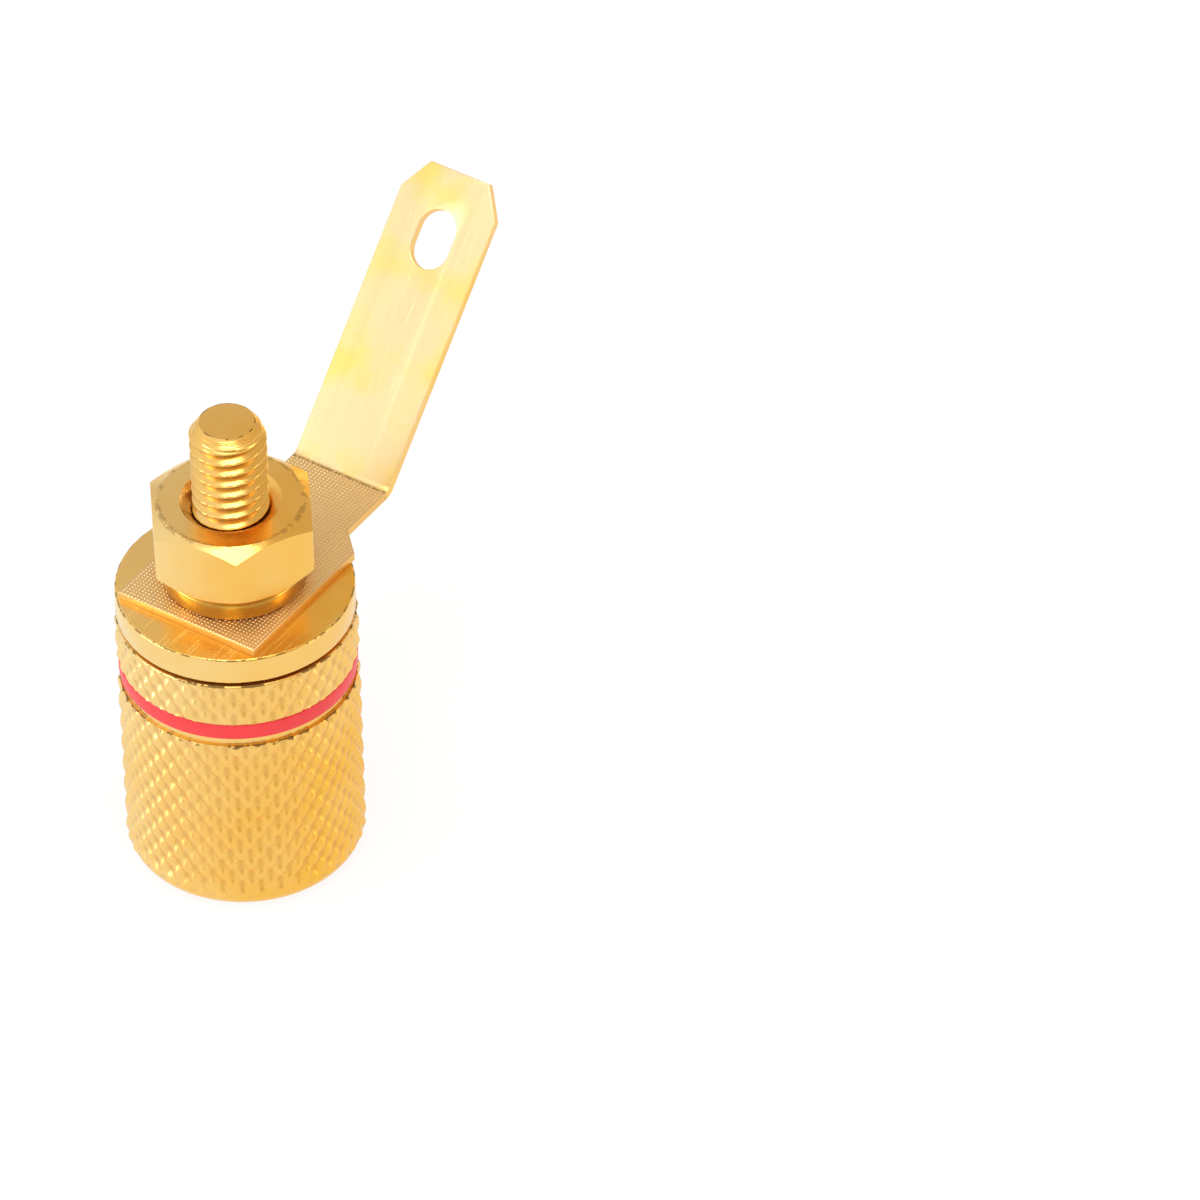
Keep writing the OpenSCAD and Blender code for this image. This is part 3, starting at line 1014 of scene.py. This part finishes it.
# Angles in degrees, aside measured from the way to the camera; distance and size in metres; power in watts
Lamp = namedtuple("Lamp", "name aside elevation distance size power colour")
LAMPS = (Lamp("key", aside=-70, elevation=8, distance=0.7, size=0.35, power=1.7, colour=(1.0, 1.0, 1.0)),
         Lamp("fill", aside=75, elevation=12, distance=0.7, size=0.3, power=0.7, colour=(1.0, 0.93, 0.82)),
         Lamp("top", aside=0, elevation=77, distance=0.6, size=0.32, power=1.4, colour=(1.0, 1.0, 1.0)))


class BINDINGPOST_OT_stage(Operator):
    """Set up the floor, the lights, the world and the camera"""

    bl_idname = "binding_post.stage"
    bl_label = "Stage"

    def execute(self, context):
        sizes = context.scene.binding_post.stage
        self.lay_floor(sizes)
        toward = sizes.azimuth + math.pi
        self.set_world(context.scene, toward)
        for lamp in LAMPS:
            self.hang_lamp(lamp, toward + math.radians(lamp.aside))
        self.set_camera(context.scene, sizes)
        context.scene.view_settings.view_transform = "Standard"
        return {"FINISHED"}

    def lay_floor(self, sizes):
        """A round pale floor under the closed end of the cap."""
        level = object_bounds()[0].z
        under = level - MM
        rings = [Ring(0, under), Ring(sizes.floor, under), Ring(sizes.floor, level), Ring(0, level)]
        floor = turned("floor", rings, segments=96, closed=False)
        material = bpy.data.materials.new("floor")
        maker = emptied(material)
        path = maker.add("ShaderNodeLightPath", output="Is Camera Ray")
        seen = path + path["Is Glossy Ray"] + path["Is Transmission Ray"]
        matt = maker.add("ShaderNodeBsdfDiffuse", {"Color": (0.9, 0.9, 0.9, 1.0)})
        white = maker.add("ShaderNodeEmission", {"Color": (1.0, 1.0, 1.0, 1.0), "Strength": 1.03})
        most = 0.85
        bright = seen.math("MINIMUM", seen * most, most)
        shader = maker.add("ShaderNodeMixShader", {0: bright, 1: matt, 2: white})
        maker.add("ShaderNodeOutputMaterial", {"Surface": shader})
        floor.data.materials.append(material)
        floor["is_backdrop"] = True

    def set_world(self, scene, toward):
        """A pale room: brightest and whitest on the left, dimmer behind the viewer."""
        world = bpy.data.worlds.new("studio")
        maker = emptied(world)
        way = maker.add("ShaderNodeTexCoord", output="Generated")
        left = self.facing(maker, way, self.direction(toward - math.radians(75), 30), 0.1, 0.95)
        viewer = self.facing(maker, way, self.direction(toward, 40), 0.9, 1.0)
        level = 0.7 + left * 0.28 - viewer * 0.3
        tone = maker.blend(left, (1.0, 0.87, 0.7), (1.0, 1.0, 1.0))
        shader = maker.add("ShaderNodeBackground", {"Color": tone, "Strength": level})
        maker.add("ShaderNodeOutputWorld", {"Surface": shader})
        scene.world = world

    def facing(self, maker, way, aim, low, high):
        """From 0 to 1 as way nears aim; low and high are cosines."""
        cosine = maker.add("ShaderNodeVectorMath", {0: way, 1: aim}, "Value", operation="DOT_PRODUCT")
        return maker.ramp(cosine, low, high)

    def direction(self, azimuth, elevation):
        """Unit vector; the azimuth is in radians from +X, the elevation in degrees."""
        up = math.radians(elevation)
        return Vector((math.cos(azimuth) * math.cos(up), math.sin(azimuth) * math.cos(up), math.sin(up)))

    def hang_lamp(self, lamp, azimuth):
        """A square soft light that faces the middle of the object."""
        low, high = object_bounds()
        way = self.direction(azimuth, lamp.elevation)
        light = bpy.data.lights.new(lamp.name, "AREA")
        light.size = lamp.size
        light.energy = lamp.power
        light.color = lamp.colour
        hung = bpy.data.objects.new(lamp.name, light)
        hung.location = (low + high) / 2 + way * lamp.distance
        hung.rotation_euler = way.to_track_quat("Z", "Y").to_euler()
        bpy.context.scene.collection.objects.link(hung)

    def set_camera(self, scene, sizes):
        """A long lens that looks down on the post, which stands left of the middle."""
        ahead = self.direction(sizes.azimuth, -math.degrees(sizes.elevation))
        level_right = Vector((math.sin(sizes.azimuth), -math.cos(sizes.azimuth), 0))
        level_down = ahead.cross(level_right)
        right = math.cos(sizes.roll) * level_right - math.sin(sizes.roll) * level_down
        down = math.sin(sizes.roll) * level_right + math.cos(sizes.roll) * level_down
        camera_data = bpy.data.cameras.new("camera")
        camera_data.lens = sizes.lens
        camera_data.clip_start = 0.01
        camera_data.clip_end = 10
        camera = bpy.data.objects.new("camera", camera_data)
        spot = -(right * sizes.across + down * sizes.below + ahead * sizes.distance)
        turn = Matrix((right, -down, -ahead)).transposed().to_4x4()
        camera.matrix_world = Matrix.Translation(spot) @ turn
        scene.collection.objects.link(camera)
        scene.camera = camera


class BINDINGPOST_PT_panel(Panel):
    """Lists what builds the binding post"""

    bl_label = "Binding post"
    bl_space_type = "VIEW_3D"
    bl_region_type = "UI"
    bl_category = "Binding post"

    def draw(self, context):
        for operator in OPERATORS:
            self.layout.operator(operator.bl_idname)


OPERATORS = (BINDINGPOST_OT_cap, BINDINGPOST_OT_ring, BINDINGPOST_OT_post, BINDINGPOST_OT_tag,
             BINDINGPOST_OT_washer, BINDINGPOST_OT_nut, BINDINGPOST_OT_stage)
GROUPS = (CapSizes, PostSizes, TagSizes, WasherSizes, NutSizes, Finishes, StageSizes, BindingPost)


def register():
    for kind in (*GROUPS, *OPERATORS, BINDINGPOST_PT_panel):
        bpy.utils.register_class(kind)
    bpy.types.Scene.binding_post = PointerProperty(type=BindingPost)


def unregister():
    del bpy.types.Scene.binding_post
    for kind in reversed((*GROUPS, *OPERATORS, BINDINGPOST_PT_panel)):
        bpy.utils.unregister_class(kind)


def main():
    """Builds every piece and the stage."""
    register()
    bpy.ops.binding_post.cap()
    bpy.ops.binding_post.ring()
    bpy.ops.binding_post.post()
    bpy.ops.binding_post.tag()
    bpy.ops.binding_post.washer()
    bpy.ops.binding_post.nut()
    bpy.ops.binding_post.stage()


if __name__ == "__main__":
    main()
